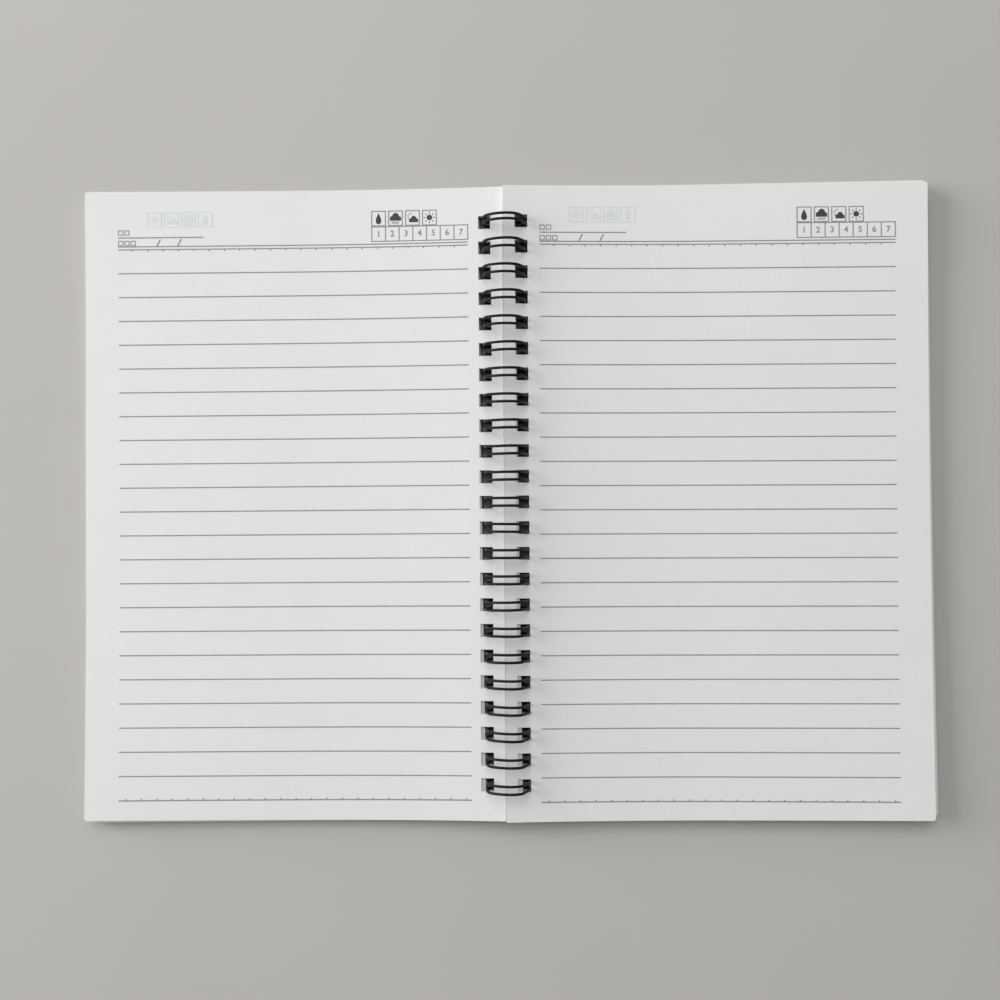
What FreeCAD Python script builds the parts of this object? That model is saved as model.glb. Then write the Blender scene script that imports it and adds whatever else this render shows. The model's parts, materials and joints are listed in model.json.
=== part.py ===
import FreeCAD, Part
import math
import os
import Sketcher
from FreeCAD import Placement, Rotation, Vector

# A spiral notebook lying open. Each half is a card cover with a stack of punched leaves on it.
# One twin-loop wire holds both halves.
# Millimetres. X runs across both pages, Y along the spine towards the top of the pages, and
# Z up from the table. The origin is under the middle of the spine, at the table.

SIZES = [
    ("leaf_width", 140.0, "a leaf from its spine edge to its fore-edge"),
    ("leaf_height", 210.0, "a leaf, and a cover, along the spine"),
    ("leaf_corner", 1.5, "radius of a leaf's two fore-edge corners"),
    ("sheet_thickness", 0.1, "one sheet of paper"),
    ("left_sheets", 32, "sheets that lie turned to the left"),
    ("right_sheets", 48, "sheets that lie to the right"),
    ("loose_sheets", 6, "top sheets of each half that have slid out of line"),
    ("left_turn", 0.1, "degrees that the left loose sheets have turned, their foot outwards"),
    ("left_slide", 0.4, "how far the left loose sheets have slid outwards"),
    ("right_turn", -0.1, "degrees that the right loose sheets have turned, their foot inwards"),
    ("right_slide", -0.3, "how far the right loose sheets have slid, inwards here"),
    ("cover_thickness", 0.4, "card of one cover"),
    ("cover_overhang", 2.0, "how far a cover reaches past the leaves at the fore-edge"),
    ("cover_corner", 2.5, "radius of a cover's two fore-edge corners"),
    ("air_gap", 0.1, "air between a cover and its leaves"),
    ("spine_gap", 0.2, "spine edge of a leaf from the middle of the spine"),
    ("hole_side", 4.0, "side of a punched square hole"),
    ("hole_margin", 3.8, "paper between a hole and the spine edge"),
    ("hole_pitch", 8.467, "from hole to hole, three to the inch"),
    ("end_margin", 10.0, "least distance from an end of the leaf to the nearest hole's middle"),
    ("hole_clearance", 0.1, "between the wire and a hole's inner edge, under the stack"),
    ("flat_reach", 70.0, "where a half starts to rise from the table towards the spine"),
    ("ring_bore", 13.0, "inside diameter of a closed wire loop"),
    ("wire_diameter", 0.9, "coated wire"),
    ("floor_gap", 0.2, "between the loops and the table"),
    ("leg_spacing", 2.5, "between the two legs of one loop"),
    ("base_bend", 0.8, "radius of the bends where a loop joins the wire's straight base"),
    ("tip_gap", 0.4, "how far short of the base's line a loop's tip stops"),
    ("end_stub", 1.5, "straight end of the wire beyond its first and last bend"),
]

# What follows from the sizes, as expressions on the sheet's cells.
HOLE_EDGE = "(Sizes.spine_gap + Sizes.hole_margin)"
HOLE_MIDDLE = "(Sizes.spine_gap + Sizes.hole_margin + Sizes.hole_side / 2)"
LOOP_COUNT = "(floor((Sizes.leaf_height - 2 * Sizes.end_margin) / Sizes.hole_pitch) + 1)"
ROW_LENGTH = "((" + LOOP_COUNT + " - 1) * Sizes.hole_pitch)"
AXIS_HEIGHT = "(Sizes.ring_bore / 2 + Sizes.wire_diameter + Sizes.floor_gap)"
CLEAR_RADIUS = "(Sizes.ring_bore / 2 - Sizes.hole_clearance)"
LIFT = "(" + AXIS_HEIGHT + " - sqrt(" + CLEAR_RADIUS + "^2 - " + HOLE_EDGE + "^2))"
RUN = "(Sizes.flat_reach - " + HOLE_EDGE + ")"
BEND_RADIUS = "((" + RUN + "^2 + " + LIFT + "^2) / (2 * " + LIFT + "))"
LEAVES_BASE = "(Sizes.cover_thickness + Sizes.air_gap)"

RIGHT = 1              # which half a piece belongs to
LEFT = -1
TRIM = 10.0            # spare stock around a leaf before it is cut to its outline
LEG_CHORDS = 14        # straight runs that make one leg of a loop
TIP_CHORDS = 3         # straight runs round a loop's tip
BEND_CHORDS = 2        # straight runs round a bend at the base
WIRE_SIDES = 6         # flats round the wire
ORIGIN = (-1, 1)       # a sketch's own origin, as constraints name it


def add_sheet(doc):
    sheet = doc.addObject("Spreadsheet::Sheet", "Sizes")
    for row, (alias, value, note) in enumerate(SIZES, start=1):
        sheet.set("A" + str(row), note)
        sheet.set("B" + str(row), str(value))
        sheet.setAlias("B" + str(row), alias)
    doc.recompute()
    return sheet


def read_sizes(sheet):
    return {alias: float(sheet.get(alias)) for alias, value, note in SIZES}


def follow_sizes(size):
    """The same derived sizes as numbers, to draw each sketch near its place and to bend the wire."""
    size["hole_edge"] = size["spine_gap"] + size["hole_margin"]
    free_length = size["leaf_height"] - 2 * size["end_margin"]
    size["loop_count"] = math.floor(free_length / size["hole_pitch"]) + 1
    size["axis_height"] = size["ring_bore"] / 2 + size["wire_diameter"] + size["floor_gap"]
    clear_radius = size["ring_bore"] / 2 - size["hole_clearance"]
    lift = size["axis_height"] - math.sqrt(clear_radius ** 2 - size["hole_edge"] ** 2)
    run = size["flat_reach"] - size["hole_edge"]
    size["bend_radius"] = (run ** 2 + lift ** 2) / (2 * lift)
    return size


def origin_plane(body, role):
    for feature in body.Origin.OriginFeatures:
        if feature.Role == role:
            return feature
    raise RuntimeError("no plane " + role)


def new_sketch(body, name, role):
    sketch = body.newObject("Sketcher::SketchObject", name)
    sketch.AttachmentSupport = (origin_plane(body, role), [""])
    sketch.MapMode = "FlatFace"
    return sketch


def constrain(sketch, kind, *where):
    return sketch.addConstraint(Sketcher.Constraint(kind, *where))


def drive(sketch, kind, *where, expression):
    """A dimension between two points, or of one arc, that follows the sheet."""
    if kind == "Radius":
        drawn = sketch.Geometry[where[0]].Radius
    else:
        step = sketch.getPoint(where[2], where[3]) - sketch.getPoint(where[0], where[1])
        drawn = step.x if kind == "DistanceX" else step.y
    index = sketch.addConstraint(Sketcher.Constraint(kind, *where, drawn))
    sketch.setExpression("Constraints[" + str(index) + "]", expression)


def draw_profile(sketch, size, base, base_value, thickness, thickness_value, reach):
    """A half's section: flat on the table, then one tangent arc up to the spine."""
    bend = size["bend_radius"]
    flat = size["flat_reach"]
    inner = size["spine_gap"] - TRIM / 2
    top_value = base_value + thickness_value
    low_radius = bend - base_value
    high_radius = bend - top_value
    low_start = math.acos((inner - flat) / low_radius)
    high_start = math.acos((inner - flat) / high_radius)
    centre = Vector(flat, bend, 0)
    upright = Vector(0, 0, 1)

    def on_circle(radius, angle):
        return centre + Vector(radius * math.cos(angle), -radius * math.sin(angle), 0)

    low_end = on_circle(low_radius, low_start)
    high_end = on_circle(high_radius, high_start)
    low_flat = Vector(flat, base_value, 0)
    high_flat = Vector(flat, top_value, 0)
    low_arc = Part.ArcOfCircle(Part.Circle(centre, upright, low_radius),
                               2 * math.pi - low_start, 1.5 * math.pi)
    high_arc = Part.ArcOfCircle(Part.Circle(centre, upright, high_radius),
                                2 * math.pi - high_start, 1.5 * math.pi)
    low_line = Part.LineSegment(low_flat, Vector(reach, base_value, 0))
    fore_line = Part.LineSegment(Vector(reach, base_value, 0), Vector(reach, top_value, 0))
    high_line = Part.LineSegment(Vector(reach, top_value, 0), high_flat)
    spine_line = Part.LineSegment(high_end, low_end)
    for piece in (low_arc, low_line, fore_line, high_line, high_arc, spine_line):
        sketch.addGeometry(piece, False)
    constrain(sketch, "Tangent", 0, 2, 1, 1)
    constrain(sketch, "Coincident", 1, 2, 2, 1)
    constrain(sketch, "Coincident", 2, 2, 3, 1)
    constrain(sketch, "Tangent", 3, 2, 4, 2)
    constrain(sketch, "Coincident", 4, 1, 5, 1)
    constrain(sketch, "Coincident", 5, 2, 0, 1)
    constrain(sketch, "Coincident", 0, 3, 4, 3)
    constrain(sketch, "Horizontal", 1)
    constrain(sketch, "Vertical", 2)
    constrain(sketch, "Horizontal", 3)
    constrain(sketch, "Vertical", 5)
    drive(sketch, "DistanceX", *ORIGIN, 0, 3, expression="Sizes.flat_reach")
    drive(sketch, "DistanceY", *ORIGIN, 0, 3, expression=BEND_RADIUS)
    drive(sketch, "Radius", 0, expression=BEND_RADIUS + " - " + base)
    drive(sketch, "DistanceY", 2, 1, 2, 2, expression=thickness)
    drive(sketch, "DistanceX", 0, 1, *ORIGIN, expression=str(TRIM / 2) + " - Sizes.spine_gap")
    drive(sketch, "DistanceX", *ORIGIN, 1, 2, expression="Sizes.leaf_width + " + str(2 * TRIM))


def draw_outline(sketch, size, width, width_value, corner, corner_value):
    """A leaf's outline about the middle of its row of holes, in a frame of stock to cut away."""
    spine = -(size["hole_margin"] + size["hole_side"] / 2)
    fore = spine + width_value
    half = size["leaf_height"] / 2
    soft = fore - corner_value
    shoulder = half - corner_value
    corners = [Vector(spine, -half, 0), Vector(soft, -half, 0), Vector(fore, -shoulder, 0),
               Vector(fore, shoulder, 0), Vector(soft, half, 0), Vector(spine, half, 0)]
    upright = Vector(0, 0, 1)
    low_circle = Part.Circle(Vector(soft, -shoulder, 0), upright, corner_value)
    high_circle = Part.Circle(Vector(soft, shoulder, 0), upright, corner_value)
    leaf = [Part.LineSegment(corners[0], corners[1]),
            Part.ArcOfCircle(low_circle, 1.5 * math.pi, 2 * math.pi),
            Part.LineSegment(corners[2], corners[3]),
            Part.ArcOfCircle(high_circle, 0, math.pi / 2),
            Part.LineSegment(corners[4], corners[5]),
            Part.LineSegment(corners[5], corners[0])]
    frame = [Vector(spine - TRIM, -half - TRIM, 0), Vector(fore + 3 * TRIM, -half - TRIM, 0),
             Vector(fore + 3 * TRIM, half + TRIM, 0), Vector(spine - TRIM, half + TRIM, 0)]
    for piece in leaf:
        sketch.addGeometry(piece, False)
    for start, end in zip(frame, frame[1:] + frame[:1]):
        sketch.addGeometry(Part.LineSegment(start, end), False)
    for first, second in ((0, 1), (1, 2), (2, 3), (3, 4)):
        constrain(sketch, "Tangent", first, 2, second, 1)
    constrain(sketch, "Coincident", 4, 2, 5, 1)
    constrain(sketch, "Coincident", 5, 2, 0, 1)
    for line in (6, 7, 8, 9):
        constrain(sketch, "Coincident", line, 2, 6 + (line - 5) % 4, 1)
    for line in (0, 4, 6, 8):
        constrain(sketch, "Horizontal", line)
    for line in (2, 5, 7, 9):
        constrain(sketch, "Vertical", line)
    constrain(sketch, "Equal", 1, 3)
    drive(sketch, "Radius", 1, expression=corner)
    drive(sketch, "DistanceX", 0, 1, *ORIGIN, expression="Sizes.hole_margin + Sizes.hole_side / 2")
    drive(sketch, "DistanceX", 5, 1, 2, 1, expression=width)
    drive(sketch, "DistanceY", 0, 1, *ORIGIN, expression="Sizes.leaf_height / 2")
    drive(sketch, "DistanceY", 0, 1, 5, 1, expression="Sizes.leaf_height")
    drive(sketch, "DistanceX", 6, 1, 0, 1, expression=str(TRIM))
    drive(sketch, "DistanceY", 6, 1, 0, 1, expression=str(TRIM))
    drive(sketch, "DistanceX", 2, 1, 7, 1, expression=str(3 * TRIM))
    drive(sketch, "DistanceY", 5, 1, 8, 2, expression=str(TRIM))


def draw_first_hole(sketch, size):
    """The square hole at one end of the row, centred on the row's line."""
    half = size["hole_side"] / 2
    end = (size["loop_count"] - 1) * size["hole_pitch"] / 2
    corners = [Vector(-half, -end - half, 0), Vector(half, -end - half, 0),
               Vector(half, -end + half, 0), Vector(-half, -end + half, 0)]
    for start, finish in zip(corners, corners[1:] + corners[:1]):
        sketch.addGeometry(Part.LineSegment(start, finish), False)
    for line in range(4):
        constrain(sketch, "Coincident", line, 2, (line + 1) % 4, 1)
    for line in (0, 2):
        constrain(sketch, "Horizontal", line)
    for line in (1, 3):
        constrain(sketch, "Vertical", line)
    drive(sketch, "DistanceX", 0, 1, 0, 2, expression="Sizes.hole_side")
    drive(sketch, "DistanceY", 1, 1, 1, 2, expression="Sizes.hole_side")
    drive(sketch, "DistanceX", 0, 1, *ORIGIN, expression="Sizes.hole_side / 2")
    drive(sketch, "DistanceY", 2, 1, *ORIGIN,
          expression="(" + ROW_LENGTH + " - Sizes.hole_side) / 2")


def loosen(sketch, side):
    """Slide loose sheets' outline outwards and turn it about the head of the row of holes."""
    half = "right" if side == RIGHT else "left"
    turn = "Sizes." + half + "_turn"
    swing = ROW_LENGTH + " / 2 * sin(" + turn + ")"
    sketch.setExpression("AttachmentOffset.Base.x",
                         HOLE_MIDDLE + " + Sizes." + half + "_slide + " + swing)
    sketch.setExpression("AttachmentOffset.Rotation.Angle", str(side) + " * " + turn)


def make_block(doc, size, name, part):
    """One cover or one run of sheets, as a solid with its holes punched."""
    body = doc.addObject("PartDesign::Body", name)
    reach = size["leaf_width"] + 2 * TRIM
    profile = new_sketch(body, name + "_profile", "XZ_Plane")
    draw_profile(profile, size, part["base"], part["base_value"],
                 part["thickness"], part["thickness_value"], reach)
    doc.recompute()
    slab = body.newObject("PartDesign::Pad", name + "_slab")
    slab.Profile = profile
    slab.SideType = "Symmetric"
    slab.setExpression("Length", "Sizes.leaf_height + " + str(TRIM))
    doc.recompute()

    outline = new_sketch(body, name + "_outline", "XY_Plane")
    draw_outline(outline, size, part["width"], part["width_value"],
                 part["corner"], part["corner_value"])
    holes = new_sketch(body, name + "_first_hole", "XY_Plane")
    draw_first_hole(holes, size)
    holes.setExpression("AttachmentOffset.Base.x", HOLE_MIDDLE)
    if part["loose"]:
        loosen(outline, part["side"])
    else:
        outline.setExpression("AttachmentOffset.Base.x", HOLE_MIDDLE)
    doc.recompute()
    cut = body.newObject("PartDesign::Pocket", name + "_trim")
    cut.Profile = outline
    cut.Type = "ThroughAll"
    cut.Reversed = True
    doc.recompute()
    punch = body.newObject("PartDesign::Pocket", name + "_punch")
    punch.Profile = holes
    punch.Type = "ThroughAll"
    punch.Reversed = True
    doc.recompute()
    row = body.newObject("PartDesign::LinearPattern", name + "_row")
    row.Originals = [punch]
    row.Direction = (holes, ["V_Axis"])
    row.setExpression("Length", ROW_LENGTH)
    row.setExpression("Occurrences", LOOP_COUNT)
    body.Tip = row
    doc.recompute()
    return body


def wire_path(size):
    """Middle line of the wire, loop by loop: straight base, bend, leg, tip, leg, bend."""
    ring = (size["ring_bore"] + size["wire_diameter"]) / 2
    half_gap = size["leg_spacing"] / 2
    bend = size["base_bend"]
    tip_start = 2 * math.pi * ring - size["tip_gap"] - half_gap
    step = (tip_start - bend) / LEG_CHORDS
    leg_radius = ring / math.cos(step / ring / 2)

    def on_ring(along, y, radius=ring):
        turn = along / ring
        return Vector(-radius * math.sin(turn), y, size["axis_height"] - radius * math.cos(turn))

    def base_bend(middle, side):
        arc = []
        for chord in range(BEND_CHORDS + 1):
            turn = math.pi / 2 * chord / BEND_CHORDS
            y = middle + side * (half_gap + bend - bend * math.sin(turn))
            arc.append(on_ring(bend - bend * math.cos(turn), y))
        return arc

    def leg(middle, side):
        y = middle + side * half_gap
        return [on_ring(bend + step * chord, y, leg_radius) for chord in range(1, LEG_CHORDS)]

    def tip(middle):
        arc = []
        for chord in range(TIP_CHORDS + 1):
            turn = math.pi * chord / TIP_CHORDS
            arc.append(on_ring(tip_start + half_gap * math.sin(turn),
                               middle - half_gap * math.cos(turn)))
        return arc

    first = -(size["loop_count"] - 1) / 2 * size["hole_pitch"]
    end_reach = half_gap + bend + size["end_stub"]
    path = [on_ring(0, first - end_reach)]
    for loop in range(size["loop_count"]):
        middle = first + loop * size["hole_pitch"]
        path += base_bend(middle, -1)
        path += leg(middle, -1)
        path += tip(middle)
        path += reversed(leg(middle, 1))
        path += reversed(base_bend(middle, 1))
    path.append(on_ring(0, -first + end_reach))
    return path


def mitred_rod(path, radius):
    """A solid rod with flat sides along straight runs, mitred where they meet."""
    runs = [(end - start).normalize() for start, end in zip(path, path[1:])]
    upright = Vector(0, 0, 1)
    across = runs[0].cross(upright)
    ring = []
    for side in range(WIRE_SIDES):
        turn = 2 * math.pi * side / WIRE_SIDES
        ring.append(path[0] + across * (radius * math.cos(turn)) + upright * (radius * math.sin(turn)))
    rings = [ring]
    for number, run in enumerate(runs):
        after = runs[number + 1] if number + 1 < len(runs) else run
        mitre = run + after
        corner = path[number + 1]
        ring = [point + run * ((corner - point).dot(mitre) / run.dot(mitre)) for point in ring]
        rings.append(ring)
    faces = [Part.Face(Part.makePolygon(end + end[:1])) for end in (rings[0], rings[-1])]
    for near, far in zip(rings, rings[1:]):
        for side in range(WIRE_SIDES):
            beside = (side + 1) % WIRE_SIDES
            outline = [near[side], near[beside], far[beside], far[side], near[side]]
            faces.append(Part.Face(Part.makePolygon(outline)))
    skin = Part.makeCompound(faces)
    skin.sewShape()
    rod = Part.Solid(skin.Shells[0] if skin.Shells else skin)
    if rod.Volume < 0:
        rod.reverse()
    return rod


def stack_part(base, base_value, sheets, sheets_value, size, side, loose):
    """What one run of sheets is made from, for make_block."""
    return {
        "base": base,
        "base_value": base_value,
        "thickness": "(" + sheets + ") * Sizes.sheet_thickness",
        "thickness_value": sheets_value * size["sheet_thickness"],
        "width": "Sizes.leaf_width",
        "width_value": size["leaf_width"],
        "corner": "Sizes.leaf_corner",
        "corner_value": size["leaf_corner"],
        "loose": loose,
        "side": side,
    }


def add_cover(doc, size, name, side):
    card = {
        "base": "0",
        "base_value": 0.0,
        "thickness": "Sizes.cover_thickness",
        "thickness_value": size["cover_thickness"],
        "width": "Sizes.leaf_width + Sizes.cover_overhang",
        "width_value": size["leaf_width"] + size["cover_overhang"],
        "corner": "Sizes.cover_corner",
        "corner_value": size["cover_corner"],
        "loose": False,
        "side": side,
    }
    cover = make_block(doc, size, name, card)
    cover.Placement = half_turn(side)
    return cover


def add_leaves(doc, size, name, sheets, side):
    """One half's leaves as one solid: a squared stack with a few loose sheets on top of it."""
    squared = "Sizes." + sheets + " - Sizes.loose_sheets"
    squared_value = size[sheets] - size["loose_sheets"]
    base_value = size["cover_thickness"] + size["air_gap"]
    top = LEAVES_BASE + " + (" + squared + ") * Sizes.sheet_thickness"
    top_value = base_value + squared_value * size["sheet_thickness"]
    under = stack_part(LEAVES_BASE, base_value, squared, squared_value, size, side, False)
    over = stack_part("(" + top + ")", top_value, "Sizes.loose_sheets", size["loose_sheets"],
                      size, side, True)
    blocks = [make_block(doc, size, name + "_squared", under),
              make_block(doc, size, name + "_loose", over)]
    for block in blocks:
        block.Placement = half_turn(side)
    leaves = doc.addObject("Part::MultiFuse", name)
    leaves.Shapes = blocks
    leaves.Refine = True
    return leaves


def half_turn(side):
    """The left half is built as the right one and turned half round about Z."""
    return Placement(Vector(0, 0, 0), Rotation(Vector(0, 0, 1), 0 if side == RIGHT else 180))


def add_wire(doc, size, name):
    wire = doc.addObject("Part::Feature", name)
    wire.Shape = mitred_rod(wire_path(size), size["wire_diameter"] / 2)
    wire.Placement = Placement()
    return wire


def check_document(doc, parts):
    for item in doc.Objects:
        if "Invalid" in item.State or "Error" in item.State:
            raise RuntimeError(item.Name + " failed: " + str(item.State))
    for part in parts:
        if part.Shape.isNull() or not part.Shape.isValid():
            raise RuntimeError(part.Label + " has no valid shape")
        if len(part.Shape.Solids) != 1:
            raise RuntimeError(part.Label + " is not one solid")


def write_parts(parts):
    os.makedirs("parts", exist_ok=True)
    for part in parts:
        part.Shape.exportStep("parts/" + part.Label + ".step")


doc = FreeCAD.newDocument("notebook")
size = follow_sizes(read_sizes(add_sheet(doc)))
parts = [
    add_wire(doc, size, "wire_binding"),
    add_cover(doc, size, "front_cover", LEFT),
    add_leaves(doc, size, "left_pages", "left_sheets", LEFT),
    add_cover(doc, size, "back_cover", RIGHT),
    add_leaves(doc, size, "right_pages", "right_sheets", RIGHT),
]
doc.recompute()
check_document(doc, parts)
write_parts(parts)
for part in parts:
    print(part.Label, round(part.Shape.Volume, 1), part.Shape.BoundBox)
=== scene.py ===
"""A twin-loop wire-bound notebook lying open: leaves, printed ruling, card covers and coated wire."""

import json
import math
import random

import bpy
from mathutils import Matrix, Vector


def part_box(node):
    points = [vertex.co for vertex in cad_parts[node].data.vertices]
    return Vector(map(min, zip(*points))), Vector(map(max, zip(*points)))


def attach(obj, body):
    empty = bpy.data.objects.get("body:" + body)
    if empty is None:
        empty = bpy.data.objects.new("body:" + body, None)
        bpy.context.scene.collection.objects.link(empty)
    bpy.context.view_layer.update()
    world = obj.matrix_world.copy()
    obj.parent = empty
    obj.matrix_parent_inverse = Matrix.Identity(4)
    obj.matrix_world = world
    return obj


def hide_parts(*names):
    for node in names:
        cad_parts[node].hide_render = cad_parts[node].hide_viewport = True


MM = 0.001
LEFT = -1
RIGHT = 1

# Leaves: widths count from SPINE_GAP outwards, and the sheets reach in as far as SPINE_EDGE
SPINE_GAP = 0.2 * MM
SPINE_EDGE = 0.05 * MM
LEAF_WIDTH = 140 * MM
LEAF_HEIGHT = 210 * MM
LEAF_CORNER = 1.0 * MM
SHEET_PITCH = 0.1 * MM
SHEET_THICKNESS = 0.088 * MM
LEAVES_BASE = 0.5 * MM
SHEETS = {LEFT: 32, RIGHT: 48}
LOOSE_SHEETS = 6
FLAT_REACH = 70 * MM

# Turn about the head of the hole row, foot outwards, and slide outwards: top, loose and lower sheets
LOOSE_TURN = {LEFT: math.radians(0.1), RIGHT: math.radians(-0.1)}
TOP_SLIDE = {LEFT: 0.4 * MM, RIGHT: -0.3 * MM}
LOOSE_SLIDE = {LEFT: 0.4 * MM, RIGHT: -0.38 * MM}
FANNED_SHEETS = 3
LOWER_TURN = {LEFT: math.radians(-0.42), RIGHT: math.radians(0.36)}
LOWER_SLIDE = {LEFT: 0.6 * MM, RIGHT: -0.45 * MM}
LOOSE_SCATTER = 0.06 * MM
LOWER_SCATTER = 0.2 * MM
TURN_SCATTER = math.radians(0.01)

# Gentle waves of the loose sheets, with a length for one radian each, and the rise of outer corners
WAVE_HEIGHT = 0.16 * MM
WAVE_ACROSS = 27 * MM
WAVE_ALONG = 31 * MM
WAVE_SLANT = 60 * MM
WAVE_START = 10 * MM
WAVE_GROWTH = 30 * MM
CURL_HEIGHT = {LEFT: 1.8 * MM, RIGHT: 1.5 * MM}

# Covers
COVER_THICKNESS = 0.4 * MM
COVER_OVERHANG = 2.0 * MM
COVER_CORNER = 2.5 * MM

# Longest mesh steps across a sheet, curved part and flat part, and the angle past which an edge is sharp
LOOSE_STEPS = (2.5 * MM, 5 * MM)
BLOCK_STEPS = (8 * MM, 36 * MM)
COVER_STEPS = (6 * MM, 36 * MM)
SHARP_ANGLE = math.radians(35)

# Which material a face of a sheet takes
ABOVE = 0
EDGE = 1
BELOW = 2
# Walls of the holes in the lower sheets and covers take painted shade: a near-black paper stands for the
# shadow deep in the punched holes
SHADED_HOLE_WALL = 3

# Square holes, their nearer edge HOLE_EDGE from the spine
HOLE_SIDE = 4.3 * MM
HOLE_EDGE = 3.85 * MM
HOLE_PITCH = 8.467 * MM
LOOP_COUNT = 23

# Wire: two legs through each hole; the tops lean to the right above LEAN_START, each a little askew
WIRE_RADIUS = 0.45 * MM
LEG_SPACING = 2.5 * MM
HEAD_LEG_SPACING = 1.8 * MM
BASE_BEND = 0.8 * MM
TIP_GAP = 0.4 * MM
END_STUB = 1.5 * MM
LOOP_LEAN = 0.16 * MM
TOP_LEAN = {"foot": 1.5 * MM, "head": 0.7 * MM}
LEAN_START = 11.5 * MM
WIRE_SIDES = 12
LEG_STEP = 0.8 * MM
BEND_STEPS = 5
TIP_STEPS = 10

# Printed page: the ruling starts and ends these distances from the spine
LINE_INNER = 11.5 * MM
LINE_OUTER = 129 * MM
LINE_SPACING = 8 * MM
LINE_INTERVALS = 23
HEADER_DROP = 19.3 * MM
HEADER_PAIR = 1.0 * MM
LINE_WIDTH = 0.38 * MM
FOOT_LINE_WIDTH = 0.42 * MM
TICK_SPACING = 5.15 * MM
FIRST_HEAD_TICK = 4.8 * MM
FIRST_FOOT_TICK = 2.4 * MM
TICK_LENGTH = 0.45 * MM
TICK_WIDTH = 0.4 * MM
PRINT_LIFT = 0.04 * MM
PRINT_STEP = 2.0 * MM
PRINT_TURN = {LEFT: math.radians(-0.1), RIGHT: math.radians(-0.17)}
PRINT_SHIFT = {LEFT: (0.16 * MM, 0.08 * MM), RIGHT: (0.6 * MM, -0.3 * MM)}

# The photograph's camera: focal length in pixels of its 1000-pixel square, and turn in degrees
PHOTO_SIDE = 1000
FOCAL_PIXELS = 1114.6
SENSOR_WIDTH = 36
CAMERA_PLACE = Vector((4.59, -6.24, 375.0)) * MM
CAMERA_TURN = (1.076, 1.031, -0.453)

# The floor is a square of twice this side, in metres
FLOOR_HALF = 3.0

random.seed(23)
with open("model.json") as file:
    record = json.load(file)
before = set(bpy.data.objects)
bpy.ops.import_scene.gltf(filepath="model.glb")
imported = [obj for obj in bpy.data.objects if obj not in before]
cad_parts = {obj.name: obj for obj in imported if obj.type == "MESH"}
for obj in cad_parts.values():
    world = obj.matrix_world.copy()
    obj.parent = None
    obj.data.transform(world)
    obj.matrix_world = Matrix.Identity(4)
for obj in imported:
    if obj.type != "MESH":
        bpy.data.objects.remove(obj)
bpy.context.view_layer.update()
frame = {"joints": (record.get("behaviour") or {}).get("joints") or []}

AXIS_HEIGHT = frame["joints"][0]["pos_m"][2]
RING_RADIUS = AXIS_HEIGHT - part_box("wire_binding")[0].z - WIRE_RADIUS
ROW_HEAD = (LOOP_COUNT - 1) / 2 * HOLE_PITCH
HOLE_MIDDLE = HOLE_EDGE + HOLE_SIDE / 2


def bend_radius():
    """Radius of the curve on which covers and leaves rise to the spine, from the cover's height."""
    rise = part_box("front_cover")[1].z
    reach = FLAT_REACH - SPINE_GAP
    return (rise ** 2 - COVER_THICKNESS ** 2 + reach ** 2) / (2 * (rise - COVER_THICKNESS))


BEND_RADIUS = bend_radius()


def curved_height(across, offset):
    """Height above the table of the layer that lies `offset` above the covers' underside."""
    run = max(FLAT_REACH - across, 0)
    return BEND_RADIUS - math.sqrt((BEND_RADIUS - offset) ** 2 - run ** 2)


def smooth(value):
    """Eases a value from 0 to 1, level at both ends."""
    value = min(max(value, 0), 1)
    return value * value * (3 - 2 * value)


class Sheet:
    """One leaf or cover: where its flat outline lies, and how high."""

    # The last flag says whether the walls of the sheet's holes get painted shade, a near-black colour
    # for the shadow inside the punched holes
    def __init__(self, side, bottom, thickness, turn=0, shift=(0, 0), looseness=0, paints_hole_shade=True):
        self.side = side
        self.bottom = bottom
        self.top = bottom + thickness
        self.turn = turn
        self.shift = shift
        self.looseness = looseness
        self.paints_hole_shade = paints_hole_shade

    def lift(self, across, along):
        """Rise of a loose sheet above its neighbours."""
        if not self.looseness:
            return 0
        waves = math.sin(across / WAVE_ACROSS + self.side)
        waves += math.sin(along / WAVE_ALONG - across / WAVE_SLANT)
        wave = WAVE_HEIGHT * (0.5 + 0.25 * waves) * smooth((across - WAVE_START) / WAVE_GROWTH)
        curl = CURL_HEIGHT[self.side] * (across / LEAF_WIDTH) ** 2 * (2 * along / LEAF_HEIGHT) ** 2
        return wave * self.looseness + curl * (0.5 + 0.5 * self.looseness)

    def place(self, across, along, offset):
        """Point of the sheet: across from the spine, along the spine, offset above the table side."""
        out = across - HOLE_MIDDLE
        headwards = along - ROW_HEAD
        cosine = math.cos(self.turn)
        sine = math.sin(self.turn)
        turned_across = HOLE_MIDDLE + out * cosine - headwards * sine + self.shift[0]
        turned_along = ROW_HEAD + out * sine + headwards * cosine + self.shift[1]
        height = curved_height(turned_across, offset) + self.lift(turned_across, turned_along)
        return Vector((self.side * turned_across, turned_along, height))


def even_steps(start, end, step):
    """Values from start to end, without start, at most step apart."""
    count = max(1, math.ceil((end - start) / step - 1e-6))
    return [start + (end - start) * number / count for number in range(1, count + 1)]


def row_lines(height, corner):
    """Grid lines along the spine: both ends, the steps of the round corners and each hole's edges."""
    end = height / 2
    arc = [end - corner * (1 - math.sin(math.radians(turn))) for turn in (90, 67.5, 45, 22.5, 0)]
    edges = []
    for number in range(LOOP_COUNT):
        middle = ROW_HEAD - number * HOLE_PITCH
        edges += [middle + HOLE_SIDE / 2, middle - HOLE_SIDE / 2]
    return sorted(arc + edges + [-value for value in arc])


def corner_inset(along, height, corner):
    """How far the rounded fore-edge draws back at this place along the spine."""
    past = abs(along) - (height / 2 - corner)
    if past <= 0:
        return 0
    return corner - math.sqrt(max(corner ** 2 - past ** 2, 0))


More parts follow.
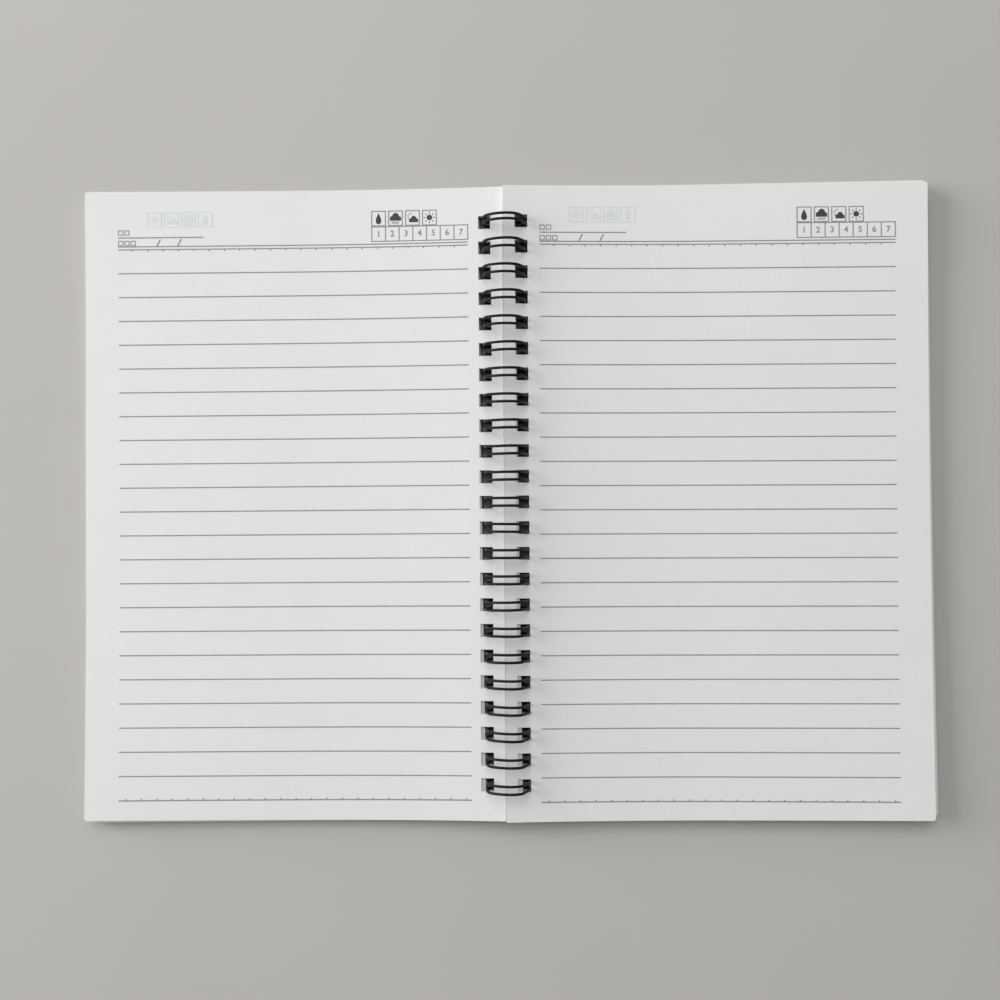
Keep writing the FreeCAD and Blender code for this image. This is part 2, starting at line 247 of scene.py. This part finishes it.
def add_sheet_mesh(mesh_parts, sheet, width, height, corner, steps):
    """Adds one punched sheet, closed all round, to the points, faces and material slots."""
    points, faces, slots = mesh_parts
    curved_step, flat_step = steps
    fore_edge = SPINE_GAP + width
    columns = [SPINE_EDGE, HOLE_EDGE, HOLE_EDGE + HOLE_SIDE]
    columns += even_steps(HOLE_EDGE + HOLE_SIDE, FLAT_REACH, curved_step)
    columns += even_steps(FLAT_REACH, fore_edge, flat_step)
    rows = row_lines(height, corner)
    last_inner = columns[-2]
    first = len(points)
    for offset in (sheet.bottom, sheet.top):
        for along in rows:
            end = fore_edge - corner_inset(along, height, corner)
            for across in columns:
                if across > last_inner:
                    across = end
                points.append(sheet.place(across, along, offset))
    layer = len(rows) * len(columns)

    def corner_point(row, column, above):
        return first + above * layer + row * len(columns) + column

    def is_solid(row, column):
        """Whether this square of the grid is sheet, and not a hole or past an edge."""
        if not (0 <= row < len(rows) - 1 and 0 <= column < len(columns) - 1):
            return False
        if columns[column] != HOLE_EDGE:
            return True
        middle = (rows[row] + rows[row + 1]) / 2
        nearest = round((ROW_HEAD - middle) / HOLE_PITCH)
        inside = 0 <= nearest < LOOP_COUNT
        return not (inside and abs(ROW_HEAD - nearest * HOLE_PITCH - middle) < HOLE_SIDE / 2)

    def add_face(corners, slot):
        if sheet.side == LEFT:
            corners = corners[::-1]
        faces.append(corners)
        slots.append(slot)

    for row in range(len(rows) - 1):
        for column in range(len(columns) - 1):
            if not is_solid(row, column):
                continue
            square = [(row, column), (row, column + 1), (row + 1, column + 1), (row + 1, column)]
            add_face([corner_point(*place, 1) for place in square], ABOVE)
            add_face([corner_point(*place, 0) for place in square[::-1]], BELOW)
            beyond = [(row - 1, column), (row, column + 1), (row + 1, column), (row, column - 1)]
            for number, neighbour in enumerate(beyond):
                if is_solid(*neighbour):
                    continue
                start = square[number]
                end = square[(number + 1) % 4]
                wall = [corner_point(*start, 0), corner_point(*end, 0)]
                wall += [corner_point(*end, 1), corner_point(*start, 1)]
                in_hole = 0 <= neighbour[0] < len(rows) - 1 and 0 <= neighbour[1] < len(columns) - 1
                # Hole walls of the lower sheets take painted shade; other walls take the pale edge paper
                add_face(wall, SHADED_HOLE_WALL if in_hole and sheet.paints_hole_shade else EDGE)


def make_object(name, mesh_parts, materials):
    """An object from points, faces and each face's material slot; smooth, with its real edges sharp."""
    points, faces, slots = mesh_parts
    mesh = bpy.data.meshes.new(name)
    mesh.from_pydata(points, [], faces)
    for material in materials:
        mesh.materials.append(material)
    mesh.polygons.foreach_set("material_index", slots)
    mesh.polygons.foreach_set("use_smooth", [True] * len(faces))
    mesh.set_sharp_from_angle(angle=SHARP_ANGLE)
    mesh.update()
    made = bpy.data.objects.new(name, mesh)
    bpy.context.scene.collection.objects.link(made)
    return made


# Materials

def start_material(name, roughness):
    """A new material, its node tree and its shader."""
    material = bpy.data.materials.new(name)
    material.use_nodes = True
    shader = material.node_tree.nodes["Principled BSDF"]
    shader.inputs["Roughness"].default_value = roughness
    return material, material.node_tree, shader


def noise(tree, scale, detail=3.0, stretch=(1, 1, 1)):
    """A noise value in the piece's own coordinates; scale is in features a metre."""
    place = tree.nodes.new("ShaderNodeTexCoord")
    mapping = tree.nodes.new("ShaderNodeMapping")
    mapping.inputs["Scale"].default_value = stretch
    tree.links.new(place.outputs["Object"], mapping.inputs["Vector"])
    texture = tree.nodes.new("ShaderNodeTexNoise")
    texture.inputs["Scale"].default_value = scale
    texture.inputs["Detail"].default_value = detail
    tree.links.new(mapping.outputs["Vector"], texture.inputs["Vector"])
    return texture.outputs["Fac"]


def spread(tree, value, low, high, start=0.3, end=0.7):
    """Maps a noise value onto low to high."""
    node = tree.nodes.new("ShaderNodeMapRange")
    node.inputs["From Min"].default_value = start
    node.inputs["From Max"].default_value = end
    node.inputs["To Min"].default_value = low
    node.inputs["To Max"].default_value = high
    tree.links.new(value, node.inputs["Value"])
    return node.outputs["Result"]


def mix_colours(tree, factor, first, second):
    """A colour between two; each may be a colour or another node's output."""
    node = tree.nodes.new("ShaderNodeMix")
    node.data_type = "RGBA"
    tree.links.new(factor, node.inputs["Factor"])
    for socket, colour in ((node.inputs["A"], first), (node.inputs["B"], second)):
        if isinstance(colour, tuple):
            socket.default_value = (*colour, 1)
        else:
            tree.links.new(colour, socket)
    return node.outputs["Result"]


def bump(tree, shader, height, strength, distance):
    """A fine relief of the surface from a noise value."""
    node = tree.nodes.new("ShaderNodeBump")
    node.inputs["Strength"].default_value = strength
    node.inputs["Distance"].default_value = distance
    tree.links.new(height, node.inputs["Height"])
    tree.links.new(node.outputs["Normal"], shader.inputs["Normal"])


def paper_material(name, light, shade):
    """Uncoated paper: cloudy formation, fine fibres and a soft tooth."""
    material, tree, shader = start_material(name, 0.62)
    shader.inputs["Specular IOR Level"].default_value = 0.3
    clouds = spread(tree, noise(tree, 90, 4), 0, 1)
    fibres = spread(tree, noise(tree, 1800, 5), 0, 0.35)
    formed = mix_colours(tree, clouds, light, shade)
    darker = tuple(part * 0.93 for part in shade)
    tree.links.new(mix_colours(tree, fibres, formed, darker), shader.inputs["Base Color"])
    tree.links.new(spread(tree, noise(tree, 700), 0.56, 0.7), shader.inputs["Roughness"])
    bump(tree, shader, noise(tree, 2600, 5), 0.25, 0.03 * MM)
    return material


def kraft_material(name):
    """Brown kraft card: a little cloudy, with long dark fibres and light flecks."""
    material, tree, shader = start_material(name, 0.75)
    shader.inputs["Specular IOR Level"].default_value = 0.25
    clouds = spread(tree, noise(tree, 60, 4), 0, 1)
    ground = mix_colours(tree, clouds, (0.56, 0.43, 0.29), (0.50, 0.375, 0.24))
    fibres = spread(tree, noise(tree, 900, 4, (1, 0.18, 1)), 0, 0.5, 0.5, 0.75)
    ground = mix_colours(tree, fibres, ground, (0.36, 0.25, 0.15))
    flecks = spread(tree, noise(tree, 1500, 2), 0, 0.7, 0.66, 0.72)
    tree.links.new(mix_colours(tree, flecks, ground, (0.70, 0.60, 0.45)), shader.inputs["Base Color"])
    tree.links.new(spread(tree, noise(tree, 500), 0.66, 0.82), shader.inputs["Roughness"])
    bump(tree, shader, noise(tree, 1400, 5), 0.35, 0.05 * MM)
    return material


def wire_material():
    """Black nylon coat on wire: a soft sheen, with a faint orange-peel."""
    material, tree, shader = start_material("coated_wire", 0.35)
    shader.inputs["Specular IOR Level"].default_value = 0.1
    shader.inputs["Coat Weight"].default_value = 0.03
    shader.inputs["Coat Roughness"].default_value = 0.15
    clouds = spread(tree, noise(tree, 800), 0, 1)
    colour = mix_colours(tree, clouds, (0.008, 0.008, 0.009), (0.014, 0.014, 0.015))
    tree.links.new(colour, shader.inputs["Base Color"])
    tree.links.new(spread(tree, noise(tree, 1200), 0.3, 0.42), shader.inputs["Roughness"])
    bump(tree, shader, noise(tree, 2500, 2), 0.12, 0.02 * MM)
    return material


def ink_material(name, colour, gaps):
    """Offset ink: matt, a little uneven where the paper's tooth shows through."""
    material, tree, shader = start_material(name, 0.6)
    shader.inputs["Specular IOR Level"].default_value = 0.25
    thin = tuple(part + (0.7 - part) * gaps for part in colour)
    tooth = spread(tree, noise(tree, 2200, 4), 0, 1, 0.35, 0.75)
    tree.links.new(mix_colours(tree, tooth, colour, thin), shader.inputs["Base Color"])
    tree.links.new(spread(tree, noise(tree, 900), 0.5, 0.66), shader.inputs["Roughness"])
    bump(tree, shader, noise(tree, 2600, 5), 0.2, 0.03 * MM)
    return material


def floor_material():
    """A matt surface, pale and plain."""
    material, tree, shader = start_material("floor", 0.8)
    shader.inputs["Specular IOR Level"].default_value = 0.2
    clouds = spread(tree, noise(tree, 6), 0, 1)
    colour = mix_colours(tree, clouds, (0.50, 0.485, 0.465), (0.48, 0.465, 0.445))
    tree.links.new(colour, shader.inputs["Base Color"])
    return material


PAPER = paper_material("page_paper", (0.775, 0.785, 0.765), (0.755, 0.77, 0.755))
PAPER_EDGE = paper_material("page_edge", (0.80, 0.79, 0.76), (0.74, 0.73, 0.70))
# Painted shade: a near-black paper for the walls of the punched holes, standing in for the shadow deep
# inside them
PAPER_HOLE_SHADE = paper_material("hole_wall_painted_shade", (0.05, 0.05, 0.048), (0.035, 0.035, 0.033))
LINING = paper_material("cover_lining", (0.76, 0.755, 0.73), (0.73, 0.725, 0.70))
KRAFT = kraft_material("cover_card")
INK_LINES = ink_material("ruling_ink", (0.23, 0.245, 0.26), 0.22)
INK_DARK = ink_material("header_ink", (0.035, 0.038, 0.05), 0.06)
INK_BEHIND = ink_material("print_showing_through", (0.67, 0.70, 0.73), 0.5)


# Leaves

def stack_sheets(side):
    """The sheets of one half, from the cover upwards: the lower ones fanned out under the loose."""
    count = SHEETS[side]
    sheets = []
    for number in range(count):
        from_top = count - 1 - number
        looseness = max(0, 1 - from_top / LOOSE_SHEETS)
        fanned = min(1, max(0, (from_top - LOOSE_SHEETS + 1) / FANNED_SHEETS))
        turn = LOOSE_TURN[side] + (LOWER_TURN[side] - LOOSE_TURN[side]) * fanned
        slide = LOOSE_SLIDE[side] + (LOWER_SLIDE[side] - LOOSE_SLIDE[side]) * fanned
        shift = (TOP_SLIDE[side], 0)
        if from_top:
            scatter = LOOSE_SCATTER + (LOWER_SCATTER - LOOSE_SCATTER) * fanned
            turn += random.uniform(-1, 1) * TURN_SCATTER
            shift = (slide + random.uniform(0, 1) * scatter, random.uniform(-1, 1) * LOOSE_SCATTER)
        bottom = LEAVES_BASE + number * SHEET_PITCH
        # Only the fully fanned lower sheets get painted shade on their hole walls
        sheets.append(Sheet(side, bottom, SHEET_THICKNESS, turn, shift, looseness, paints_hole_shade=fanned == 1))
    return sheets


def add_leaves(side, node, body):
    """All leaves of one half: the plain block, and the loose sheets on top in finer steps."""
    sheets = stack_sheets(side)
    block = ([], [], [])
    loose = ([], [], [])
    for sheet in sheets:
        if sheet.looseness:
            add_sheet_mesh(loose, sheet, LEAF_WIDTH, LEAF_HEIGHT, LEAF_CORNER, LOOSE_STEPS)
        else:
            add_sheet_mesh(block, sheet, LEAF_WIDTH, LEAF_HEIGHT, LEAF_CORNER, BLOCK_STEPS)
    for part, name in ((block, node + "_block"), (loose, node + "_loose")):
        # The fourth material is painted shade for the walls of the holes
        leaves = make_object(name, part, [PAPER, PAPER_EDGE, PAPER, PAPER_HOLE_SHADE])
        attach(leaves, body)
        if part is block:
            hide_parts(node)
    return sheets


def add_cover(side, node, body):
    """One card cover: kraft outside, a pale lining inside and at the edge, and painted shade on the
    walls of its holes.
    """
    cover = Sheet(side, 0, COVER_THICKNESS)
    parts = ([], [], [])
    width = LEAF_WIDTH + COVER_OVERHANG
    add_sheet_mesh(parts, cover, width, LEAF_HEIGHT, COVER_CORNER, COVER_STEPS)
    card = make_object(node + "_card", parts, [LINING, LINING, KRAFT, PAPER_HOLE_SHADE])
    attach(card, body)
    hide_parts(node)


# Print

class Page:
    """One printed face of a sheet: places are given along the ruling and down from the head."""

    def __init__(self, sheet, above, outwards):
        self.sheet = sheet
        self.above = above
        self.outwards = outwards

    def place(self, along_line, down):
        """Point of the print, just off the paper."""
        across = LINE_INNER + along_line if self.outwards else LINE_OUTER - along_line
        if self.above:
            offset = self.sheet.top + PRINT_LIFT
        else:
            offset = self.sheet.bottom - PRINT_LIFT
        shift = PRINT_SHIFT[self.sheet.side]
        turn = PRINT_TURN[self.sheet.side]
        shifted = across + turn * (down - HEADER_DROP) + shift[0]
        along = LEAF_HEIGHT / 2 - down + turn * across + shift[1]
        return self.sheet.place(shifted, along, offset)


class Print:
    """Flat printed shapes that follow the paper."""

    def __init__(self, page):
        self.page = page
        self.points = []
        self.faces = []
        self.slots = []

    def shape(self, outline, ink):
        """A filled shape from its outline, facing away from the paper."""
        placed = [self.page.place(*point) for point in outline]
        area = sum(a.x * b.y - b.x * a.y for a, b in zip(placed, placed[1:] + placed[:1]))
        if (area > 0) != self.page.above:
            placed.reverse()
        first = len(self.points)
        self.points += placed
        self.faces.append(list(range(first, first + len(placed))))
        self.slots.append(ink)

    def stroke(self, start, end, width, ink):
        """A straight stroke with square ends, in short lengths so that it bends with the page."""
        length = math.dist(start, end)
        direction = ((end[0] - start[0]) / length, (end[1] - start[1]) / length)
        side = (-direction[1] * width / 2, direction[0] * width / 2)
        ends = [0] + even_steps(0, length, PRINT_STEP)
        for low, high in zip(ends, ends[1:]):
            a = (start[0] + direction[0] * low, start[1] + direction[1] * low)
            b = (start[0] + direction[0] * high, start[1] + direction[1] * high)
            self.shape([(a[0] - side[0], a[1] - side[1]), (b[0] - side[0], b[1] - side[1]),
                        (b[0] + side[0], b[1] + side[1]), (a[0] + side[0], a[1] + side[1])], ink)

    def box(self, left, top, width, height, line, ink):
        """The outline of a box; the strokes meet at its corners without crossing."""
        right = left + width
        bottom = top + height
        half = line / 2
        self.stroke((left - half, top), (right + half, top), line, ink)
        self.stroke((left - half, bottom), (right + half, bottom), line, ink)
        self.stroke((left, top + half), (left, bottom - half), line, ink)
        self.stroke((right, top + half), (right, bottom - half), line, ink)

    def disc(self, middle, radius, ink, sides=20):
        """A filled round spot."""
        outline = []
        for number in range(sides):
            turn = 2 * math.pi * number / sides
            outline.append((middle[0] + radius * math.cos(turn), middle[1] + radius * math.sin(turn)))
        self.shape(outline, ink)


# Which ink a printed shape takes
LINES = 0
DARK = 1
BEHIND = 2

# Weather boxes and numbered boxes, from the start of the ruling and down from the head
ICON_LEFT = 85.3 * MM
ICON_TOP = 7.3 * MM
ICON_WIDTH = 4.6 * MM
ICON_HEIGHT = 4.87 * MM
ICON_SPACING = 5.7 * MM
SIGN_SIZE = 3.75 * MM
BEHIND_SHIFT = (-0.6 * MM, -0.4 * MM)
DAY_TOP = 12.5 * MM
DAY_HEIGHT = 4.87 * MM
DAY_COUNT = 7
BOX_LINE = 0.34 * MM
DIGIT_SIZE = 2.8 * MM
DIGIT_WEIGHT = 0.05 * MM

# Places of the two captions, a line for a number and two slashes for a date
NUMBER_BOXES = 2
NUMBER_BOXES_FOOT = 14.5 * MM
DATE_BOXES = 3
DATE_BOXES_FOOT = 18.0 * MM
NUMBER_LINE = 28.7 * MM
NUMBER_LINE_DROP = 15.3 * MM
SMALL_BOX = 1.75 * MM
SMALL_BOX_LINE = 0.3 * MM
SMALL_BOX_SPACING = 2.1 * MM
SLASHES = (13.0 * MM, 20.0 * MM)
SLASH_FOOT = 18.15 * MM
SLASH_HEAD = 15.85 * MM
SLASH_SLANT = 1.25 * MM
SLASH_WIDTH = 0.42 * MM


def cloud_outline(middle, size):
    """A cloud: flat foot, and the upper hull of three round heaps, all in shares of its size."""
    heaps = [(-0.30, 0.20, 0.22), (0.02, 0.0, 0.30), (0.34, 0.22, 0.20)]
    foot = 0.40
    steps = 32
    outline = []
    for number in range(steps + 1):
        x = -0.52 + 1.06 * number / steps
        reach = [y - math.sqrt(r * r - (x - h) ** 2) for h, y, r in heaps if abs(x - h) < r]
        outline.append((x, min(reach + [foot])))
    outline = [(x, y) for x, y in outline if y < foot]
    outline += [(outline[-1][0], foot), (outline[0][0], foot)]
    return [(middle[0] + x * size, middle[1] + y * size) for x, y in outline]


def draw_drop(page_print, middle, size, ink):
    """A rain drop with a pointed head."""
    steps = 24
    outline = []
    for number in range(steps):
        turn = 2 * math.pi * number / steps
        width = 0.36 * math.sin(turn) * math.sin(turn / 2) ** 1.5
        outline.append((middle[0] + width * size, middle[1] - 0.5 * math.cos(turn) * size))
    page_print.shape(outline, ink)


def draw_rain(page_print, middle, size, ink):
    """A cloud with five slanting strokes of rain."""
    page_print.shape(cloud_outline((middle[0], middle[1] - 0.18 * size), size), ink)
    for number in range(5):
        x = middle[0] + (-0.28 + 0.14 * number) * size
        start = (x + 0.05 * size, middle[1] + 0.29 * size)
        end = (x - 0.05 * size, middle[1] + 0.5 * size)
        page_print.stroke(start, end, 0.07 * size, LINES if ink == DARK else ink)


def draw_rays(page_print, hub, turns, inner, outer, width, ink):
    """Straight rays round a point, at these turns in degrees."""
    for turn in turns:
        ray = (math.cos(math.radians(turn)), math.sin(math.radians(turn)))
        start = (hub[0] + inner * ray[0], hub[1] + inner * ray[1])
        end = (hub[0] + outer * ray[0], hub[1] + outer * ray[1])
        page_print.stroke(start, end, width, ink)


def draw_cloud(page_print, middle, size, ink):
    """A cloud, with the rays of a sun behind its shoulder."""
    page_print.shape(cloud_outline((middle[0] + 0.1 * size, middle[1] + 0.06 * size), 0.82 * size), ink)
    hub = (middle[0] - 0.14 * size, middle[1] - 0.12 * size)
    turns = [130 + 35 * number for number in range(5)]
    ray_ink = LINES if ink == DARK else ink
    draw_rays(page_print, hub, turns, 0.2 * size, 0.33 * size, 0.08 * size, ray_ink)


def draw_sun(page_print, middle, size, ink):
    """A round sun with eight rays."""
    page_print.disc(middle, 0.25 * size, ink)
    turns = [45 * number for number in range(8)]
    draw_rays(page_print, middle, turns, 0.34 * size, 0.52 * size, 0.065 * size, ink)


def draw_weather(page_print, mirrored=False):
    """Four boxes with plain weather signs; mirrored where they show through from the other side."""
    signs = [draw_drop, draw_rain, draw_cloud, draw_sun]
    for number, draw in enumerate(signs):
        left = ICON_LEFT + number * ICON_SPACING
        top = ICON_TOP
        if mirrored:
            left = LINE_OUTER - LINE_INNER - left - ICON_WIDTH + BEHIND_SHIFT[0]
            top += BEHIND_SHIFT[1]
        middle = (left + ICON_WIDTH / 2, top + ICON_HEIGHT / 2)
        page_print.box(left, top, ICON_WIDTH, ICON_HEIGHT, BOX_LINE, BEHIND if mirrored else LINES)
        draw(page_print, middle, SIGN_SIZE, BEHIND if mirrored else DARK)


def digit_shapes(text, size):
    """Filled outlines of a plain digit, centred on the origin, with y downwards."""
    curve = bpy.data.curves.new("digit", "FONT")
    curve.body = text
    curve.size = size
    curve.offset = DIGIT_WEIGHT
    curve.align_x = "CENTER"
    curve.align_y = "CENTER"
    curve.resolution_u = 3
    holder = bpy.data.objects.new("digit", curve)
    bpy.context.scene.collection.objects.link(holder)
    graph = bpy.context.evaluated_depsgraph_get()
    mesh = bpy.data.meshes.new_from_object(holder.evaluated_get(graph))
    corners = [(vertex.co.x, -vertex.co.y) for vertex in mesh.vertices]
    shapes = [[corners[index] for index in face.vertices] for face in mesh.polygons]
    bpy.data.objects.remove(holder)
    bpy.data.meshes.remove(mesh)
    return shapes


DIGITS = [digit_shapes(str(number + 1), DIGIT_SIZE) for number in range(DAY_COUNT)]


def draw_days(page_print):
    """A row of seven numbered boxes that share their upright lines."""
    width = (LINE_OUTER - LINE_INNER - ICON_LEFT) / DAY_COUNT
    page_print.box(ICON_LEFT, DAY_TOP, width * DAY_COUNT, DAY_HEIGHT, BOX_LINE, LINES)
    for number in range(DAY_COUNT):
        left = ICON_LEFT + number * width
        if number:
            start = (left, DAY_TOP + BOX_LINE / 2)
            page_print.stroke(start, (left, DAY_TOP + DAY_HEIGHT - BOX_LINE / 2), BOX_LINE, LINES)
        for outline in DIGITS[number]:
            placed = [(left + width / 2 + x, DAY_TOP + DAY_HEIGHT / 2 + y) for x, y in outline]
            page_print.shape(placed, LINES)


def draw_small_boxes(page_print, foot, count):
    """A row of equal open squares that stands where a caption would be."""
    side = SMALL_BOX - SMALL_BOX_LINE
    for number in range(count):
        left = SMALL_BOX_LINE / 2 + number * SMALL_BOX_SPACING
        page_print.box(left, foot - side - SMALL_BOX_LINE / 2, side, side, SMALL_BOX_LINE, LINES)


def draw_captions(page_print):
    """The two short captions' places, the line for a number and two slashes for a date."""
    draw_small_boxes(page_print, NUMBER_BOXES_FOOT, NUMBER_BOXES)
    draw_small_boxes(page_print, DATE_BOXES_FOOT, DATE_BOXES)
    page_print.stroke((0, NUMBER_LINE_DROP), (NUMBER_LINE, NUMBER_LINE_DROP), LINE_WIDTH, LINES)
    for left in SLASHES:
        page_print.stroke((left, SLASH_FOOT), (left + SLASH_SLANT, SLASH_HEAD), SLASH_WIDTH, LINES)


def draw_ticks(page_print, first, top):
    """Short upright strokes, evenly spaced along the whole ruling."""
    count = int((LINE_OUTER - LINE_INNER - first) / TICK_SPACING) + 1
    for number in range(count):
        along = first + number * TICK_SPACING
        page_print.stroke((along, top), (along, top + TICK_LENGTH), TICK_WIDTH, LINES)


def draw_ruling(page_print):
    """The double head line, the ruled lines and the ticked foot line."""
    length = LINE_OUTER - LINE_INNER
    upper = HEADER_DROP - HEADER_PAIR
    page_print.stroke((0, upper), (length, upper), LINE_WIDTH, LINES)
    for number in range(LINE_INTERVALS + 1):
        down = HEADER_DROP + number * LINE_SPACING
        is_foot = number == LINE_INTERVALS
        page_print.stroke((0, down), (length, down), FOOT_LINE_WIDTH if is_foot else LINE_WIDTH, LINES)
        if number == 0:
            draw_ticks(page_print, FIRST_HEAD_TICK, down + LINE_WIDTH / 2)
        if is_foot:
            draw_ticks(page_print, FIRST_FOOT_TICK, down - FOOT_LINE_WIDTH / 2 - TICK_LENGTH)


def add_print(name, page, body, shows_through):
    """Everything printed on one face of a sheet."""
    page_print = Print(page)
    draw_ruling(page_print)
    draw_captions(page_print)
    draw_days(page_print)
    draw_weather(page_print)
    if shows_through:
        draw_weather(page_print, mirrored=True)
    parts = (page_print.points, page_print.faces, page_print.slots)
    printed = make_object(name, parts, [INK_LINES, INK_DARK, INK_BEHIND])
    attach(printed, body)


# Wire

def ring_point(along, y, askew=0):
    """Point of the wire's middle line: along the ring from its base, at y along the spine."""
    turn = along / RING_RADIUS
    y += askew * math.sin(turn)
    height = AXIS_HEIGHT - RING_RADIUS * math.cos(turn)
    raised = smooth((height - LEAN_START) / (AXIS_HEIGHT + RING_RADIUS - LEAN_START))
    headwards = 0.5 + 0.5 * y / ROW_HEAD
    lean = TOP_LEAN["foot"] + (TOP_LEAN["head"] - TOP_LEAN["foot"]) * headwards
    return Vector((-RING_RADIUS * math.sin(turn) + lean * raised, y, height))


def wire_route():
    """Middle line of the one wire: along the base, round a loop and back, once for each hole."""
    half_gap = LEG_SPACING / 2
    route = [ring_point(0, -ROW_HEAD - half_gap - BASE_BEND - END_STUB)]
    for number in range(LOOP_COUNT):
        middle = -ROW_HEAD + number * HOLE_PITCH
        askew = random.uniform(-1, 1) * LOOP_LEAN
        if number == LOOP_COUNT - 1:
            half_gap = HEAD_LEG_SPACING / 2
        tip_start = 2 * math.pi * RING_RADIUS - TIP_GAP - half_gap
        for side in (-1, 1):
            half = []
            for step in range(BEND_STEPS + 1):
                turn = math.pi / 2 * step / BEND_STEPS
                out = half_gap + BASE_BEND * (1 - math.sin(turn))
                half.append(ring_point(BASE_BEND * (1 - math.cos(turn)), middle + side * out, askew))
            for along in even_steps(BASE_BEND, tip_start, LEG_STEP):
                half.append(ring_point(along, middle + side * half_gap, askew))
            if side == 1:
                for step in range(1, TIP_STEPS):
                    turn = math.pi * step / TIP_STEPS
                    along = tip_start + half_gap * math.sin(turn)
                    route.append(ring_point(along, middle - half_gap * math.cos(turn), askew))
                half.reverse()
            route += half
    route.append(ring_point(0, ROW_HEAD + half_gap + BASE_BEND + END_STUB))
    return route


def tube(route, radius, sides):
    """A round tube along a route, its ends closed."""
    points = []
    faces = []
    across = Vector((1, 0, 0))
    for number, point in enumerate(route):
        before = route[max(number - 1, 0)]
        after = route[min(number + 1, len(route) - 1)]
        run = (after - before).normalized()
        across = (across - run * across.dot(run)).normalized()
        other = run.cross(across)
        for side in range(sides):
            turn = 2 * math.pi * side / sides
            points.append(point + (across * math.cos(turn) + other * math.sin(turn)) * radius)
    for ring in range(len(route) - 1):
        for side in range(sides):
            low = ring * sides
            after = (side + 1) % sides
            faces.append([low + side, low + after, low + sides + after, low + sides + side])
    faces.append(list(range(sides))[::-1])
    last = (len(route) - 1) * sides
    faces.append(list(range(last, last + sides)))
    return points, faces, [0] * len(faces)


def add_wire():
    wire = make_object("twin_loop_wire", tube(wire_route(), WIRE_RADIUS, WIRE_SIDES), [wire_material()])
    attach(wire, "wire")
    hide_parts("wire_binding")


# Surroundings

def add_floor():
    corners = ((-1, -1), (1, -1), (1, 1), (-1, 1))
    points = [Vector((x * FLOOR_HALF, y * FLOOR_HALF, 0)) for x, y in corners]
    parts = (points, [[0, 1, 2, 3]], [0])
    make_object("floor", parts, [floor_material()])


def add_lamp(name, bearing, rise, distance, size, power, colour):
    """A square lamp aimed at the notebook: bearing from +X and rise in degrees, lengths in metres."""
    data = bpy.data.lights.new(name, "AREA")
    data.shape = "SQUARE"
    data.size = size
    data.energy = power
    data.color = colour
    lamp = bpy.data.objects.new(name, data)
    bpy.context.scene.collection.objects.link(lamp)
    bearing = math.radians(bearing)
    rise = math.radians(rise)
    level = math.cos(rise)
    direction = Vector((math.cos(bearing) * level, math.sin(bearing) * level, math.sin(rise)))
    lamp.location = direction * distance
    lamp.rotation_euler = direction.to_track_quat("Z", "Y").to_euler()


def add_world():
    """Soft light from all round, and a white background where the camera sees past the floor."""
    world = bpy.data.worlds.new("world")
    world.use_nodes = True
    bpy.context.scene.world = world
    tree = world.node_tree
    soft = tree.nodes["Background"]
    soft.inputs["Color"].default_value = (0.97, 0.985, 1.0, 1)
    soft.inputs["Strength"].default_value = 0.3
    seen = tree.nodes.new("ShaderNodeBackground")
    seen.inputs["Color"].default_value = (1, 1, 1, 1)
    seen.inputs["Strength"].default_value = 1.0
    path = tree.nodes.new("ShaderNodeLightPath")
    mix = tree.nodes.new("ShaderNodeMixShader")
    tree.links.new(path.outputs["Is Camera Ray"], mix.inputs[0])
    tree.links.new(soft.outputs["Background"], mix.inputs[1])
    tree.links.new(seen.outputs["Background"], mix.inputs[2])
    tree.links.new(mix.outputs["Shader"], tree.nodes["World Output"].inputs["Surface"])


def add_camera():
    data = bpy.data.cameras.new("camera")
    data.sensor_width = SENSOR_WIDTH
    data.lens = FOCAL_PIXELS / PHOTO_SIDE * SENSOR_WIDTH
    data.clip_start = 0.01
    camera = bpy.data.objects.new("camera", data)
    camera.location = CAMERA_PLACE
    camera.rotation_euler = [math.radians(turn) for turn in CAMERA_TURN]
    bpy.context.scene.collection.objects.link(camera)
    bpy.context.scene.camera = camera


add_floor()
add_world()
add_lamp("window", 165, 22, 2.0, 1.3, 39, (1.0, 1.0, 0.995))
add_lamp("ceiling", 100, 60, 1.6, 1.0, 10.5, (1.0, 0.995, 0.98))
add_camera()
add_cover(LEFT, "front_cover", "front")
add_cover(RIGHT, "back_cover", "back")
left_sheets = add_leaves(LEFT, "left_pages", "left_leaves")
right_sheets = add_leaves(RIGHT, "right_pages", "right_leaves")
left_page = Page(left_sheets[-1], above=True, outwards=False)
right_page = Page(right_sheets[-1], above=True, outwards=True)
first_page = Page(left_sheets[0], above=False, outwards=True)
last_page = Page(right_sheets[0], above=False, outwards=False)
add_print("left_page_print", left_page, "left_leaves", shows_through=True)
add_print("right_page_print", right_page, "right_leaves", shows_through=True)
add_print("first_page_print", first_page, "left_leaves", shows_through=False)
add_print("last_page_print", last_page, "right_leaves", shows_through=False)
add_wire()
bpy.context.scene.view_settings.view_transform = "Standard"
